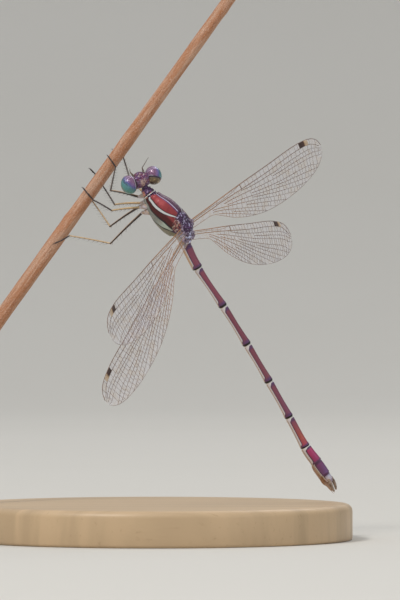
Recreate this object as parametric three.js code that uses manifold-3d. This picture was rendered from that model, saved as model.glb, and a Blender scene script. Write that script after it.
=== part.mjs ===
// A life-size spreadwing damselfly that grips a slanting grass stem, held up by a plain display stand.
// Millimetres, +Z up. The origin is the centre of the base's underside, and -Y is the side seen best.

import * as THREE from "three";
import { mergeVertices } from "three/addons/utils/BufferGeometryUtils.js";
import Module from "manifold-3d";

const wasm = await Module();
wasm.setup();

// Stand
const BASE_RADIUS = 22;
const BASE_HEIGHT = 4;
const BASE_EDGE = 0.8;
const ROD_RADIUS = 0.75;
const ROD_X = -18.5;

// Insect as a whole: where the middle of its thorax is, and which way its body lies
const THORAX_CENTRE = new THREE.Vector3(1.4, -2, 36.1);
const TAILWARD = new THREE.Vector3(0.486, 0.191, -0.853).normalize();
const DORSAL = new THREE.Vector3(0.718, -0.644, 0.265).normalize();
const RIGHT = new THREE.Vector3().crossVectors(DORSAL, TAILWARD).normalize();

// Space between touching pieces, and the least half-thickness of a thin limb or wing
const GAP = 0.2;
const THIN = 0.25;

// Stem: two ends measured from the thorax, and the radius at each
const STEM_LOW = [-21.1, 4.5, -14.65];
const STEM_HIGH = [8.1, 4.5, 26.0];
const STEM_RADII = [0.84, 0.66];

// Head: its middle, the way the face looks, the way its crown looks, and the sizes across, forwards and upwards
const HEAD_CENTRE = [-2.92, -0.2, 3.92];
const FACE = new THREE.Vector3(-0.46, 0.569, 0.682).normalize();
const CROWN = new THREE.Vector3(0.006, -0.766, 0.643).normalize();
const HEAD_RIGHT = new THREE.Vector3().crossVectors(FACE, CROWN).normalize();
const EYE_OFFSET = 1.5;
const EYE_HALF = [0.9, 1.02, 1.06];

// Wings: forewing and hindwing lengths, and the planform as shares of the length
const FORE_LENGTH = 23;
const HIND_LENGTH = 21.8;
const LEADING = [[0, 0.012], [0.15, 0.014], [0.385, 0.018], [0.6, 0.017], [0.8, 0.018], [0.9, 0.008],
  [0.955, -0.01], [0.985, -0.036], [1, -0.066]];
const TRAILING = [[0, -0.03], [0.08, -0.031], [0.165, -0.038], [0.22, -0.07], [0.3, -0.119], [0.4, -0.162],
  [0.5, -0.19], [0.6, -0.204], [0.7, -0.206], [0.8, -0.199], [0.9, -0.178], [0.955, -0.153],
  [0.985, -0.127], [1, -0.1]];
const SPAN_STATIONS = [0, 0.04, 0.09, 0.14, 0.18, 0.23, 0.29, 0.345, 0.372, 0.385, 0.4, 0.46, 0.53, 0.6, 0.67,
  0.74, 0.8, 0.835, 0.848, 0.915, 0.93, 0.965, 0.987, 1];
const NODUS = 0.385;
const STIGMA = [0.848, 0.915];
const STIGMA_CHORD = 0.2;
const VEINS = [0.1, 0.2, 0.36, 0.52, 0.68, 0.84];
const VEIN_HALF_WIDTH = 0.018;
const VEIN_HEIGHT = 0.12;
const WING_CAMBER = 0.03;

const material = (color, roughness, metalness) =>
  new THREE.MeshStandardMaterial({ color, roughness, metalness });
const COPPER = material(0x8c3038, 0.35, 0.35);
const PURPLE = material(0x4a3050, 0.35, 0.35);
const EYE = material(0x4d7f90, 0.25, 0);
const LEG = material(0x3a2c20, 0.5, 0);
const PALE = material(0xbfb09a, 0.5, 0);
const WING = material(0xb9ad98, 0.3, 0);
const STRAW = material(0xb07840, 0.65, 0);
const WOOD = material(0xc9a777, 0.5, 0);
const STEEL = material(0xa8abad, 0.3, 0.9);

const vector = ([x, y, z]) => new THREE.Vector3(x, y, z);

// A point in the insect's own directions: how far tailward, to its right and towards its back.
const inBody = (tail, right, dorsal) =>
  new THREE.Vector3()
    .addScaledVector(TAILWARD, tail)
    .addScaledVector(RIGHT, right)
    .addScaledVector(DORSAL, dorsal);

// The same for the head: across to its right, towards the face and towards the crown.
const inHead = (right, face, crown) =>
  vector(HEAD_CENTRE)
    .addScaledVector(HEAD_RIGHT, right)
    .addScaledVector(FACE, face)
    .addScaledVector(CROWN, crown);

function toSolid(geometry) {
  const bare = geometry.clone();
  bare.deleteAttribute("normal");
  bare.deleteAttribute("uv");
  const merged = mergeVertices(bare, 1e-4);
  return new wasm.Manifold(
    new wasm.Mesh({
      numProp: 3,
      vertProperties: new Float32Array(merged.attributes.position.array),
      triVerts: new Uint32Array(merged.index.array),
    }),
  );
}

function toGeometry(solid) {
  const mesh = solid.getMesh();
  return new THREE.BufferGeometry()
    .setAttribute("position", new THREE.BufferAttribute(new Float32Array(mesh.vertProperties), 3))
    .setIndex(new THREE.BufferAttribute(new Uint32Array(mesh.triVerts), 1));
}

const largest = (solid) => solid.decompose().sort((a, b) => b.volume() - a.volume())[0];

// A value read off a smooth curve through [x, y] points.
function profile(points, x) {
  const last = points.length - 1;
  let i = 0;
  while (i < last - 1 && x > points[i + 1][0]) i += 1;
  const [x0, y0] = points[i];
  const [x1, y1] = points[i + 1];
  const slope = (a, b) => (points[b][1] - points[a][1]) / (points[b][0] - points[a][0]);
  const m0 = slope(Math.max(i - 1, 0), i + 1);
  const m1 = slope(i, Math.min(i + 2, last));
  const step = x1 - x0;
  const t = (x - x0) / step;
  return (
    (2 * t ** 3 - 3 * t ** 2 + 1) * y0 +
    (t ** 3 - 2 * t ** 2 + t) * step * m0 +
    (3 * t ** 2 - 2 * t ** 3) * y1 +
    (t ** 3 - t ** 2) * step * m1
  );
}

// A closed skin over rings of points that all have the same count.
function skin(rings) {
  const count = rings[0].length;
  const positions = rings.flat().flatMap((p) => [p.x, p.y, p.z]);
  const index = [];
  for (let i = 0; i + 1 < rings.length; i += 1)
    for (let j = 0; j < count; j += 1) {
      const k = (j + 1) % count;
      const [a, b, c, d] = [i * count + j, i * count + k, (i + 1) * count + k, (i + 1) * count + j];
      index.push(a, b, c, a, c, d);
    }
  const end = (rings.length - 1) * count;
  for (let j = 1; j + 1 < count; j += 1) {
    index.push(0, j + 1, j);
    index.push(end, end + j, end + j + 1);
  }
  return new THREE.BufferGeometry()
    .setAttribute("position", new THREE.BufferAttribute(new Float32Array(positions), 3))
    .setIndex(index);
}

// A body with oval sections: each station gives its middle and its half-sizes across and towards the back.
function loft(stations, back, sides, grow = 0) {
  const middles = stations.map((s) => s.at.clone());
  const last = middles.length - 1;
  const tangent = (i) =>
    middles[Math.min(i + 1, last)].clone().sub(middles[Math.max(i - 1, 0)]).normalize();
  const tangents = middles.map((_, i) => tangent(i));
  if (grow) {
    middles[0].addScaledVector(tangents[0], -grow);
    middles[last].addScaledVector(tangents[last], grow);
  }
  const rings = stations.map(({ half }, i) => {
    const side = new THREE.Vector3().crossVectors(back, tangents[i]).normalize();
    const up = new THREE.Vector3().crossVectors(tangents[i], side).normalize();
    return Array.from({ length: sides }, (_, j) => {
      const angle = (2 * Math.PI * j) / sides;
      return middles[i]
        .clone()
        .addScaledVector(side, Math.cos(angle) * (half[0] + grow))
        .addScaledVector(up, Math.sin(angle) * (half[1] + grow));
    });
  });
  return toSolid(skin(rings));
}

// A straight or bent limb with round sections, through points with a radius at each.
function limb(points, radii, sides = 8) {
  return (grow = 0) =>
    loft(points.map((at, i) => ({ at, half: [radii[i], radii[i]] })), limbBack(points), sides, grow);
}

// A direction that is well off the limb's own line, to turn its sections by.
function limbBack(points) {
  const along = points.at(-1).clone().sub(points[0]).normalize();
  return Math.abs(along.dot(DORSAL)) < 0.8 ? DORSAL : RIGHT;
}

function ellipsoid(centre, half, [x, y, z], segments = 18) {
  return (grow = 0) => {
    const geometry = new THREE.SphereGeometry(1, segments, Math.round(segments * 0.7));
    geometry.scale(half[0] + grow, half[1] + grow, half[2] + grow);
    geometry.applyMatrix4(new THREE.Matrix4().makeBasis(x, y, z).setPosition(centre));
    return toSolid(geometry);
  };
}

// One wing: a thin plate in its own plane, with its main veins, nodus and stigma raised on both faces.
function wing(root, span, lead, length) {
  const along = vector(span).normalize();
  const ahead = vector(lead).addScaledVector(along, -vector(lead).dot(along)).normalize();
  const across = new THREE.Vector3().crossVectors(along, ahead);
  const columns = [[0, 1], [0.045, 0]];
  for (const vein of VEINS)
    columns.push([vein - VEIN_HALF_WIDTH, 0], [vein, 1], [vein + VEIN_HALF_WIDTH, 0]);
  columns.push([0.955, 0], [1, 1]);
  const raised = (share, chord, vein) =>
    (share > STIGMA[0] - 0.001 && share < STIGMA[1] + 0.001 && chord > 0 && chord < STIGMA_CHORD) ||
    share === NODUS
      ? 1
      : vein;
  const point = (share, [chord, vein], face) => {
    const front = profile(LEADING, share) * length;
    const rear = profile(TRAILING, share) * length;
    const camber = WING_CAMBER * (front - rear) * Math.sin(Math.PI * chord) * Math.min(1, share * 4);
    const height = THIN + VEIN_HEIGHT * raised(share, chord, vein);
    return vector(root)
      .addScaledVector(along, share * length)
      .addScaledVector(ahead, front + (rear - front) * chord)
      .addScaledVector(across, camber + face * height);
  };
  const rings = SPAN_STATIONS.map((share) => [
    ...columns.map((column) => point(share, column, 1)),
    ...columns.toReversed().map((column) => point(share, column, -1)),
  ]);
  return flatSkin(rings);
}

// The skin of a plate whose rings run out along one face and back along the other, split alike on both.
function flatSkin(rings) {
  const count = rings[0].length;
  const half = count / 2;
  const positions = rings.flat().flatMap((p) => [p.x, p.y, p.z]);
  const index = [];
  for (let i = 0; i + 1 < rings.length; i += 1)
    for (let j = 0; j < count; j += 1) {
      const k = (j + 1) % count;
      const [a, b, c, d] = [i * count + j, i * count + k, (i + 1) * count + k, (i + 1) * count + j];
      if (j < half) index.push(a, b, c, a, c, d);
      else index.push(a, b, d, b, c, d);
    }
  const end = (rings.length - 1) * count;
  for (let j = 0; j + 1 < half; j += 1) {
    const [a, b, c, d] = [j, j + 1, count - 2 - j, count - 1 - j];
    index.push(a, c, b, a, d, c);
    index.push(end + a, end + b, end + c, end + a, end + c, end + d);
  }
  return toSolid(
    new THREE.BufferGeometry()
      .setAttribute("position", new THREE.BufferAttribute(new Float32Array(positions), 3))
      .setIndex(index),
  );
}

// Every piece by name: how to make it, grown by a margin if asked, its finish, and what it is cut clear of.
const pieces = new Map();
const add = (name, make, finish, clearOf = []) => pieces.set(name, { make, finish, clearOf });

// Stem
add("perch_stem", limb([vector(STEM_LOW), vector(STEM_HIGH)], STEM_RADII, 20), STRAW);

// Thorax: distance tailward, height of the middle, half-width and half-height
const THORAX = [
  [-3.0, -0.8, 0.55, 0.64], [-2.6, -0.8, 0.9, 1.0], [-2.2, -0.66, 1.04, 1.17], [-1.75, -0.54, 1.22, 1.37],
  [-1.3, -0.4, 1.35, 1.52], [-0.8, -0.22, 1.46, 1.64], [-0.1, 0.0, 1.54, 1.74], [0.8, 0.32, 1.54, 1.74],
  [1.4, 0.58, 1.46, 1.65], [2.0, 0.76, 1.32, 1.5], [2.6, 0.72, 1.0, 1.14], [3.2, 0.58, 0.68, 0.76],
];
add(
  "pterothorax",
  (grow = 0) =>
    loft(THORAX.map(([tail, up, w, h]) => ({ at: inBody(tail, 0, up), half: [w, h] })), DORSAL, 24, grow),
  COPPER,
);

// Prothorax, whose narrow collar in front is the neck
const PROTHORAX = [
  { at: vector([-2.62, -0.1, 3.55]), half: [0.3, 0.3] },
  { at: vector([-2.52, 0.04, 3.12]), half: [0.4, 0.36] },
  { at: vector([-2.4, 0.08, 2.88]), half: [0.6, 0.5] },
  { at: vector([-2.18, 0.05, 2.58]), half: [0.68, 0.6] },
  { at: vector([-1.92, 0.02, 2.24]), half: [0.76, 0.7] },
];
add("prothorax", (grow = 0) => loft(PROTHORAX, DORSAL, 16, grow), PURPLE, ["pterothorax", "head"]);

// Head with its face, eyes, feelers and mouthparts
const headAxes = [HEAD_RIGHT, FACE, CROWN];
for (const [side, sign] of [["left", -1], ["right", 1]])
  add(`eye_${side}`, ellipsoid(inHead(sign * EYE_OFFSET, 0, 0), EYE_HALF, headAxes), EYE);
const HEAD_LUMPS = [
  [[0, 0, -0.02], [1.7, 0.64, 0.8]],
  [[0, -0.12, -0.3], [1.3, 0.52, 0.62]],
  [[0, 0.55, -0.12], [0.8, 0.6, 0.66]],
  [[0, 0.85, -0.5], [0.62, 0.5, 0.45]],
];
add(
  "head",
  (grow = 0) =>
    HEAD_LUMPS.map(([at, half]) => ellipsoid(inHead(...at), half, headAxes)(grow)).reduce((a, b) => a.add(b)),
  PURPLE,
  ["eye_left", "eye_right"],
);
add("mouthparts", ellipsoid(inHead(0, 0.42, -1.0), [0.5, 0.55, 0.42], headAxes, 16), PALE, ["head"]);
const FEELER_TIPS = { left: [-0.5, 1.85, 0.3], right: [1.9, 2.0, 0.8] };
for (const [side, sign] of [["left", -1], ["right", 1]])
  add(
    `antenna_${side}`,
    limb(
      [inHead(sign * 0.62, 0.62, 0.3), inHead(sign * 0.72, 1.05, 0.4), inHead(...FEELER_TIPS[side])],
      [0.26, 0.25, 0.07],
      6,
    ),
    LEG,
    ["head", `eye_${side}`],
  );

// Abdomen: the joints from its root to its tip, then each segment's half-width and half-height at
// its front, middle and rear
const JOINTS = [
  [1.66, 0.55, -2.5], [2.11, 0.78, -3.49], [3.37, 1.3, -5.91], [6.23, 2.27, -10.17], [8.9, 3.23, -14.45],
  [11.36, 4.14, -18.6], [13.62, 5.0, -22.58], [15.42, 5.71, -25.88], [16.67, 6.1, -27.61],
  [17.65, 6.41, -28.93], [18.16, 6.57, -29.61],
];
const SEGMENTS = [
  [[0.62, 0.62], [0.62, 0.64], [0.6, 0.6]],
  [[0.58, 0.62], [0.54, 0.58], [0.54, 0.58]],
  [[0.46, 0.5], [0.38, 0.41], [0.46, 0.5]],
  [[0.42, 0.46], [0.37, 0.4], [0.46, 0.5]],
  [[0.42, 0.46], [0.38, 0.41], [0.46, 0.5]],
  [[0.42, 0.46], [0.38, 0.42], [0.46, 0.5]],
  [[0.44, 0.48], [0.44, 0.48], [0.52, 0.56]],
  [[0.54, 0.6], [0.58, 0.66], [0.58, 0.68]],
  [[0.56, 0.66], [0.56, 0.64], [0.52, 0.58]],
  [[0.48, 0.5], [0.44, 0.46], [0.38, 0.4]],
];
const joint = (i) => vector(JOINTS[i]);
SEGMENTS.forEach((halves, i) => {
  const [from, to] = [joint(i), joint(i + 1)];
  const inset = GAP / 2 / from.distanceTo(to);
  const shares = [inset, 0.12, 0.45, 0.8, 1 - inset];
  const half = (share) =>
    [0, 1].map((k) => profile(halves.map((h, n) => [n / 2, h[k]]), share));
  const stations = shares.map((share) => ({ at: from.clone().lerp(to, share), half: half(share) }));
  const name = `abdomen_${String(i + 1).padStart(2, "0")}`;
  const before = i ? [] : ["pterothorax"];
  add(name, (grow = 0) => loft(stations, DORSAL, 14, grow), i ? COPPER : PURPLE, before);
});

// Egg-laying sheath under the last segments, and the two claspers at the tip
const TIP = joint(10);
add(
  "ovipositor",
  (grow = 0) =>
    loft(
      [[8, 0.3, -0.7, 0.22, 0.22], [8, 0.9, -0.76, 0.26, 0.3], [9, 0.6, -0.74, 0.27, 0.32],
        [10, 0.2, -0.66, 0.26, 0.28], [10, 1.1, -0.56, 0.25, 0.25]].map(([i, tail, up, w, h]) => ({
        at: joint(i).addScaledVector(TAILWARD, tail).addScaledVector(DORSAL, up),
        half: [w, h],
      })),
      DORSAL,
      10,
      grow,
    ),
  PALE,
  ["abdomen_08", "abdomen_09", "abdomen_10"],
);
for (const [side, sign] of [["left", -1], ["right", 1]]) {
  const at = (tail, right, up) => TIP.clone().add(inBody(tail, right, up));
  add(
    `cercus_${side}`,
    limb([at(0.12, sign * 0.34, 0.1), at(0.7, sign * 0.4, 0.08), at(1.35, sign * 0.36, 0.0)], [0.24, 0.22, 0.1], 8),
    PURPLE,
  );
}

// Wings: root, the way each spans, the way its leading edge faces, and its length
const WINGS = {
  forewing_right: [[2.56, -0.07, -0.85], [0.626, 0.633, 0.455], [-0.242, -0.398, 0.885], FORE_LENGTH],
  hindwing_right: [[2.73, 0.47, -2.02], [0.501, 0.863, 0.071], [-0.23, 0.054, 0.972], HIND_LENGTH],
  forewing_left: [[1.76, -1.33, -1.64], [-0.373, -0.82, -0.434], [-0.417, -0.269, 0.868], FORE_LENGTH],
  hindwing_left: [[1.95, -0.8, -2.62], [-0.438, -0.459, -0.773], [-0.572, -0.521, 0.634], HIND_LENGTH],
};
for (const [name, shape] of Object.entries(WINGS))
  add(name, () => wing(...shape), WING, ["pterothorax", "abdomen_01", "abdomen_02"]);

// Legs: where each leaves the body, then hip, knee, ankle, the middle of the foot and its claws
const LEGS = {
  fore_left: [[-2.28, 0.1, 2.33], [-3.17, 0.3, 2.06], [-6.36, 1.5, 2.81], [-5.83, 3.3, 5.47],
    [-6.24, 3.35, 6.09], [-6.73, 3.5, 6.76]],
  fore_right: [[-2.1, 1.0, 2.6], [-2.78, 1.9, 2.7], [-4.16, 3.6, 3.86], [-5.02, 5.2, 6.69],
    [-5.64, 5.65, 7.15], [-6.2, 5.65, 7.49]],
  middle_left: [[-2.1, 0.0, 1.1], [-3.0, 0.3, 0.89], [-6.25, 1.5, 0.58], [-8.35, 3.35, 1.79],
    [-8.9, 3.35, 2.45], [-9.52, 3.65, 3.19]],
  middle_right: [[-2.2, 1.2, 1.55], [-2.95, 2.1, 1.42], [-5.95, 3.6, 1.29], [-7.55, 5.7, 3.79],
    [-8.16, 5.65, 4.74], [-8.77, 5.2, 5.35]],
  hind_left: [[-1.9, 0.2, 0.44], [-2.85, 0.8, 0.3], [-6.36, 1.8, -3.09], [-10.98, 3.6, -2.21],
    [-11.86, 3.3, -2.74], [-12.76, 3.45, -3.13]],
  hind_right: [[-2.0, 1.3, 0.9], [-3.08, 2.6, 1.08], [-6.46, 4.0, -1.17], [-8.44, 5.7, 1.66],
    [-8.97, 5.72, 2.44], [-9.4, 5.6, 3.0]],
};
for (const [leg, points] of Object.entries(LEGS)) {
  const [root, hip, knee, ankle, foot, claws] = points.map(vector);
  const [coxa, femur, tibia, tarsus] = ["coxa", "femur", "tibia", "tarsus"].map((part) => `leg_${leg}_${part}`);
  const body = leg.startsWith("fore") ? ["prothorax", "pterothorax"] : ["pterothorax"];
  const ahead = { hind: "middle", middle: "fore" }[leg.split("_")[0]];
  const others = ahead ? ["coxa", "femur"].map((part) => `leg_${ahead}_${leg.split("_")[1]}_${part}`) : [];
  add(coxa, limb([root, hip], [0.36, 0.3], 10), PALE, [...body, ...others]);
  add(femur, limb([hip, hip.clone().lerp(knee, 0.5), knee], [0.26, 0.28, 0.25]), LEG, [coxa, ...others, ...body]);
  add(tibia, limb([knee, ankle], [0.26, THIN]), LEG, [femur, "perch_stem"]);
  add(tarsus, limb([ankle, foot, claws], [THIN, THIN, 0.16]), LEG, [tibia, "perch_stem"]);
}

// Stand: a round base with a softened edge, and a rod whose top is cut to seat the stem
function baseProfile() {
  const [r, h, e] = [BASE_RADIUS, BASE_HEIGHT, BASE_EDGE];
  const corner = Array.from({ length: 5 }, (_, i) => {
    const angle = (Math.PI / 2) * (i / 4);
    return new THREE.Vector2(r - e + e * Math.cos(angle), h - e + e * Math.sin(angle));
  });
  return [new THREE.Vector2(0, 0), new THREE.Vector2(r - 0.3, 0), new THREE.Vector2(r, 0.3), ...corner,
    new THREE.Vector2(0, h)];
}
const standSolid = (geometry) => toSolid(geometry.rotateX(Math.PI / 2));
const ROD_TOP = THORAX_CENTRE.z + STEM_LOW[2] + 2;
const ROD_FOOT = BASE_HEIGHT + GAP;
const rodGeometry = new THREE.CylinderGeometry(ROD_RADIUS, ROD_RADIUS, ROD_TOP - ROD_FOOT, 24);
const inThoraxFrame = (solid) => solid.translate([-THORAX_CENTRE.x, -THORAX_CENTRE.y, -THORAX_CENTRE.z]);
add("stand_base", () => inThoraxFrame(standSolid(new THREE.LatheGeometry(baseProfile(), 48))), WOOD);
add(
  "stand_rod",
  () =>
    inThoraxFrame(
      standSolid(rodGeometry.clone()).translate([
        ROD_X,
        THORAX_CENTRE.y + STEM_LOW[1],
        (ROD_TOP + ROD_FOOT) / 2,
      ]),
    ),
  STEEL,
  ["perch_stem"],
);

const damselfly = new THREE.Group();
damselfly.position.copy(THORAX_CENTRE);
for (const [name, { make, finish, clearOf }] of pieces) {
  const cut = clearOf.reduce((solid, other) => solid.subtract(pieces.get(other).make(GAP)), make());
  const mesh = new THREE.Mesh(toGeometry(largest(cut)), finish);
  mesh.name = name;
  damselfly.add(mesh);
}

export default damselfly;
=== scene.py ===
"""Dresses the solid model of a life-size damselfly on a grass stem, with its stand, floor and lights."""

import math

import bpy
from bpy.props import FloatProperty, FloatVectorProperty, IntProperty, PointerProperty
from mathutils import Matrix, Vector


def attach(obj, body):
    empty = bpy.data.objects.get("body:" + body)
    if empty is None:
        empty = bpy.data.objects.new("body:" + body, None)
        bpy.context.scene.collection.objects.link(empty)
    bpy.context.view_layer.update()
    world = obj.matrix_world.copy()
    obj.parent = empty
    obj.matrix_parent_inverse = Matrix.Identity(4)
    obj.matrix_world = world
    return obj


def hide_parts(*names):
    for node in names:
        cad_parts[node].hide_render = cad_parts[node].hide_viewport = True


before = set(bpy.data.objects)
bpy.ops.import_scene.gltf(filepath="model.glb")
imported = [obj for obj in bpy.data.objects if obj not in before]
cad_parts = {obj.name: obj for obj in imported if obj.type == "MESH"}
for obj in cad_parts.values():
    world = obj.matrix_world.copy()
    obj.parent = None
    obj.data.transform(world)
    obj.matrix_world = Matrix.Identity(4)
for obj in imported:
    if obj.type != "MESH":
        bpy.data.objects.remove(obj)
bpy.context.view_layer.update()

bl_info = {
    "name": "Damselfly on a stem",
    "version": (1, 0, 0),
    "blender": (4, 5, 0),
    "location": "3D View > Sidebar > Damselfly",
    "description": "Makes the shell, eyes, wings, legs, stem and stand of a life-size damselfly",
    "category": "Add Mesh",
}

MM = 0.001
THORAX = Vector((1.4, -2.0, 36.1))
TAILWARD = Vector((0.486, 0.191, -0.853)).normalized()
DORSAL = Vector((0.718, -0.644, 0.265)).normalized()
RIGHT = DORSAL.cross(TAILWARD).normalized()
UP = Vector((0, 0, 1))

HEAD = Vector((-2.92, -0.2, 3.92))
FACE = Vector((-0.46, 0.569, 0.682)).normalized()
CROWN = Vector((0.006, -0.766, 0.643)).normalized()
HEAD_RIGHT = FACE.cross(CROWN).normalized()
HEAD_AXES = (HEAD_RIGHT, FACE, CROWN)

STEM_LOW = Vector((-21.1, 4.5, -14.65))
STEM_HIGH = Vector((8.1, 4.5, 26.0))
STEM_RADII = (0.82, 0.64)

# How far the pattern on the back is turned about the body, so that it sits as in the photo.
BACK_ROLL = math.radians(10)


def in_body(tail, right, dorsal):
    return TAILWARD * tail + RIGHT * right + DORSAL * dorsal


def in_head(right, face, crown):
    return HEAD + HEAD_RIGHT * right + FACE * face + CROWN * crown


def profile(points, x):
    """A value read off a smooth curve through (x, y) points."""
    last = len(points) - 1
    i = 0
    while i < last - 1 and x > points[i + 1][0]:
        i += 1
    x0, y0 = points[i]
    x1, y1 = points[i + 1]

    def slope(a, b):
        return (points[b][1] - points[a][1]) / (points[b][0] - points[a][0])

    m0 = slope(max(i - 1, 0), i + 1)
    m1 = slope(i, min(i + 2, last))
    step = x1 - x0
    t = min(max((x - x0) / step, 0), 1)
    return (
        (2 * t**3 - 3 * t**2 + 1) * y0
        + (t**3 - 2 * t**2 + t) * step * m0
        + (3 * t**2 - 2 * t**3) * y1
        + (t**3 - t**2) * step * m1
    )


def hump(x, middle, width):
    return math.exp(-(((x - middle) / width) ** 2))


def scatter(seed):
    """A steady number from 0 to 1 that looks unordered."""
    return math.sin(seed * 127.1 + 311.7) * 43758.5453 % 1


def through(points):
    """A smooth path through points, as a function of 0 to 1."""
    last = len(points) - 1
    if last == 1:
        return lambda t: points[0].lerp(points[1], t)
    axes = [[(i / last, p[k]) for i, p in enumerate(points)] for k in range(3)]
    return lambda t: Vector([profile(axis, t) for axis in axes])


def taper(start, drop=0.0):
    """Half-sizes of a round limb that is thinner by drop at its far end."""
    return lambda t: (start - drop * t,) * 2


def evenly(sizes):
    """Sizes in a row as points for profile, evenly from 0 to 1."""
    return [(i / (len(sizes) - 1), size) for i, size in enumerate(sizes)]


def circle(radius, height, count):
    turns = [2 * math.pi * j / count for j in range(count)]
    return [Vector((radius * math.cos(a), radius * math.sin(a), height)) for a in turns]


def from_back(angle):
    """Degrees from the middle of the back, the same on both sides."""
    return 180 - abs(math.degrees(angle) % 360 - 180)


class Form:
    """A mesh being made, in millimetres from the thorax, with each face's finish and place on the skin."""

    def __init__(self):
        self.points = []
        self.faces = []
        self.places = []
        self.finishes = []

    def rings(self, rings, along, finish=0):
        """Joins rings of points into a closed skin, placed by how far along and how far round."""
        start = len(self.points)
        count = len(rings[0])
        for ring in rings:
            self.points.extend(ring)
        for i in range(len(rings) - 1):
            for j in range(count):
                k = (j + 1) % count
                low = start + i * count
                high = low + count
                self.faces.append((low + j, low + k, high + k, high + j))
                left, right = j / count, (j + 1) / count
                near, far = along[i], along[i + 1]
                self.places.append(((near, left), (near, right), (far, right), (far, left)))
                self.finishes.append(finish)
        self.cap([start + j for j in reversed(range(count))], along[0], finish)
        self.cap([len(self.points) - count + j for j in range(count)], along[-1], finish)

    def cap(self, corners, along, finish):
        self.faces.append(tuple(corners))
        self.places.append(tuple((along, i / len(corners)) for i in range(len(corners))))
        self.finishes.append(finish)

    def tube(
        self, path, size, back, sides=12, steps=12, finish=0, along=(0, 1), swell=None, ends=3, roll=0
    ):
        """A limb along a path, with oval sections and rounded ends; size(t) is half across, half up."""
        step = 1e-3
        spots = [(i / steps, 0, 1) for i in range(steps + 1)]
        if ends:
            turns = [math.pi / 2 * (i + 1) / (ends + 0.35) for i in range(ends)]
            before = [(0, -math.sin(a), math.cos(a)) for a in reversed(turns)]
            after = [(1, math.sin(a), math.cos(a)) for a in turns]
            spots = before + spots + after
        made = []
        for t, out, shrink in spots:
            middle = path(t)
            tangent = (path(min(t + step, 1)) - path(max(t - step, 0))).normalized()
            side = back.cross(tangent).normalized()
            up = tangent.cross(side)
            wide, high = size(t)
            middle = middle + tangent * out * min(wide, high)
            ring = []
            for j in range(sides):
                angle = 2 * math.pi * j / sides
                reach = shrink * (swell(t, angle) if swell else 1)
                turn = angle + roll
                upward = up * math.cos(turn) * high * reach
                ring.append(middle + upward - side * math.sin(turn) * wide * reach)
            made.append(ring)
        self.rings(made, [along[0] + (along[1] - along[0]) * t for t, _, _ in spots], finish)

    def spike(self, foot, tip, radius, finish=0, sides=4):
        """A thin tapering bristle."""
        way = (tip - foot).normalized()
        back = UP if abs(way.dot(UP)) < 0.8 else RIGHT
        self.tube(through([foot, tip]), taper(radius, radius * 0.85), back, sides, 2, finish, ends=0)

    def ball(self, middle, half, axes, finish=0, around=32, up=20, reach=None):
        """A rounded lump. reach(direction) scales it where it isn't a plain oval."""
        across, ahead, above = axes
        made = []
        for i in range(up + 1):
            tilt = math.pi * (i + 0.02) / (up + 0.04)
            ring = []
            for j in range(around):
                turn = 2 * math.pi * j / around
                flat = math.sin(tilt)
                way = Vector((flat * math.cos(turn), flat * math.sin(turn), -math.cos(tilt)))
                scale = reach(way) if reach else 1
                ring.append(
                    middle
                    + across * way.x * half[0] * scale
                    + ahead * way.y * half[1] * scale
                    + above * way.z * half[2] * scale
                )
            made.append(ring)
        self.rings(made, [i / up for i in range(up + 1)], finish)


def place(name, form, finishes, slot, nodes=()):
    """Turns a form into a piece of the model that stands for CAD nodes."""
    mesh = bpy.data.meshes.new(name)
    mesh.from_pydata([(p + THORAX) * MM for p in form.points], [], form.faces)
    skin = mesh.uv_layers.new(name="skin")
    skin.data.foreach_set("uv", [n for corners in form.places for spot in corners for n in spot])
    for finish in finishes:
        mesh.materials.append(finish)
    mesh.polygons.foreach_set("material_index", form.finishes)
    mesh.polygons.foreach_set("use_smooth", [True] * len(form.faces))
    mesh.update()
    piece = bpy.data.objects.new(name, mesh)
    bpy.context.scene.collection.objects.link(piece)
    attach(piece, "root")
    if nodes:
        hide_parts(*nodes)
    return piece


class Value:
    """A node's output that Python arithmetic can be done on."""

    def __init__(self, shade, socket):
        self.shade = shade
        self.socket = socket

    def math(self, operation, *others):
        inputs = dict(enumerate((self, *others)))
        return self.shade.node("ShaderNodeMath", {"operation": operation}, inputs)

    def __add__(self, other):
        return self.math("ADD", other)

    __radd__ = __add__

    def __sub__(self, other):
        return self.math("SUBTRACT", other)

    def __rsub__(self, other):
        return self.shade.node("ShaderNodeMath", {"operation": "SUBTRACT"}, {0: other, 1: self})

    def __mul__(self, other):
        return self.math("MULTIPLY", other)

    __rmul__ = __mul__

    def __truediv__(self, other):
        return self.math("DIVIDE", other)

    def __abs__(self):
        return self.math("ABSOLUTE")


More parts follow.
